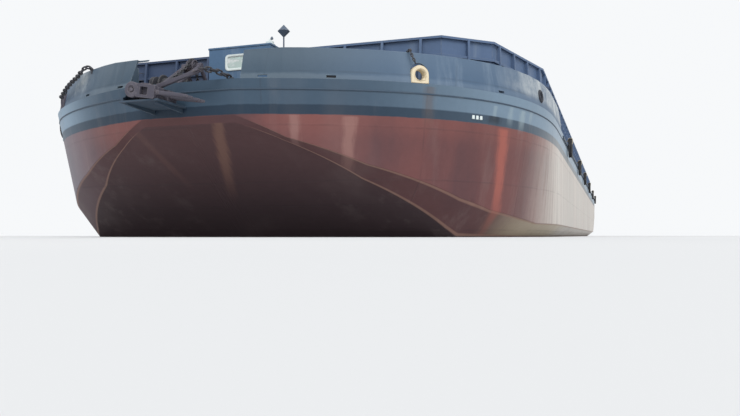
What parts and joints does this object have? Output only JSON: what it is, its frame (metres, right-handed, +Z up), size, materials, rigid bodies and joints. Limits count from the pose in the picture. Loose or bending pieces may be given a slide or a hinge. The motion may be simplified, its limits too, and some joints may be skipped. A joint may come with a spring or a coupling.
{
  "type": "river deck cargo barge, 1:10 scale model",
  "caption": "Flat-bottomed river cargo barge with a raked bow, bulwark, walled deck cargo box, small deckhouse, bow anchor gear and tyre fenders, as a 1:10 scale model.",
  "frame": {"origin": "middle of the overall length and beam, on the ground under the flat bottom", "axes": "+Z up, +Y from bow to stern along the centreline, +X to port"},
  "size_m": [2.4506, 9.271, 0.855],
  "materials": {
    "hull_paint": "matt, weathered: slate topside, red bottom paint",
    "wall_paint": "matt dark grey-blue, weathered",
    "house_paint": "matt slate grey",
    "rusty_gear": "rough, rusty, mud-coloured",
    "deck_gear": "matt, chipped paint over rust",
    "chock_paint": "matt cream",
    "white_paint": "matt white",
    "glazing": "clear, slightly green",
    "fender_rubber": "worn black rubber",
    "mark_paint": "matt black"
  },
  "bodies": {
    "barge": {"hull": "hull_paint", "bulwark_port": "hull_paint", "bulwark_starboard": "hull_paint", "skeg_port": "hull_paint", "skeg_starboard": "hull_paint", "box_front": "wall_paint", "box_aft": "wall_paint", "box_corner_port": "wall_paint", "box_corner_starboard": "wall_paint", "box_shoulder_port": "wall_paint", "box_shoulder_starboard": "wall_paint", "box_side_forward_port": "wall_paint", "box_side_forward_starboard": "wall_paint", "box_side_middle_port": "wall_paint", "box_side_middle_starboard": "wall_paint", "box_side_aft_port": "wall_paint", "box_side_aft_starboard": "wall_paint", "house_front": "house_paint", "house_back": "house_paint", "house_side_port": "house_paint", "house_side_starboard": "house_paint", "house_roof": "house_paint", "anchor_shank": "rusty_gear", "anchor_cradle": "rusty_gear", "anchor_cable": "rusty_gear", "chain_frame": "rusty_gear", "windlass_frame": "deck_gear", "bitts_bow_port": "deck_gear", "bitts_bow_starboard": "deck_gear", "bitts_stern_port": "deck_gear", "bitts_stern_starboard": "deck_gear", "hatch_coaming_port": "deck_gear", "hatch_coaming_starboard": "deck_gear", "mooring_chock_port": "chock_paint", "mooring_chock_starboard": "chock_paint", "window_frame": "white_paint", "window_glass": "glazing", "fender_rail_port": "hull_paint", "fender_rail_starboard": "hull_paint", "fender_tyre_shoulder": "fender_rubber", "fender_tyre_port_1": "fender_rubber", "fender_tyre_port_2": "fender_rubber", "fender_tyre_port_3": "fender_rubber", "fender_tyre_port_4": "fender_rubber", "fender_tyre_port_5": "fender_rubber", "fender_tyre_port_6": "fender_rubber", "fender_tyre_starboard_1": "fender_rubber", "fender_tyre_starboard_2": "fender_rubber", "fender_tyre_starboard_3": "fender_rubber", "fender_tyre_starboard_4": "fender_rubber", "fender_tyre_starboard_5": "fender_rubber", "fender_tyre_starboard_6": "fender_rubber", "day_mark": "mark_paint"},
    "door": {"house_door": "house_paint"},
    "lid_port": {"hatch_lid_port": "deck_gear"},
    "lid_starboard": {"hatch_lid_starboard": "deck_gear"},
    "drum": {"windlass_drum": "deck_gear"},
    "sheave": {"chain_sheave": "rusty_gear"},
    "flukes": {"anchor_flukes": "rusty_gear"}
  },
  "joints": [
    {"name": "door_hinge", "type": "hinge", "parent": "barge", "child": "door", "pos_m": [-0.105, -4.0055, 0.66], "axis": [0, 0, -1], "range_deg": [0, 110]},
    {"name": "lid_port_hinge", "type": "hinge", "parent": "barge", "child": "lid_port", "pos_m": [0.42, -4.098, 0.6006], "axis": [-1, 0, 0], "range_deg": [0, 100]},
    {"name": "lid_starboard_hinge", "type": "hinge", "parent": "barge", "child": "lid_starboard", "pos_m": [-0.42, -4.098, 0.6006], "axis": [-1, 0, 0], "range_deg": [0, 100]},
    {"name": "drum_spin", "type": "hinge", "parent": "barge", "child": "drum", "pos_m": [-0.23, -4.1885, 0.612], "axis": [1, 0, 0], "continuous": true},
    {"name": "sheave_spin", "type": "hinge", "parent": "barge", "child": "sheave", "pos_m": [-0.082, -4.2835, 0.655], "axis": [1, 0, 0], "continuous": true},
    {"name": "fluke_swing", "type": "hinge", "parent": "barge", "child": "flukes", "pos_m": [-0.095, -4.5705, 0.5], "axis": [0, -1, 0], "range_deg": [0, 62]}
  ]
}
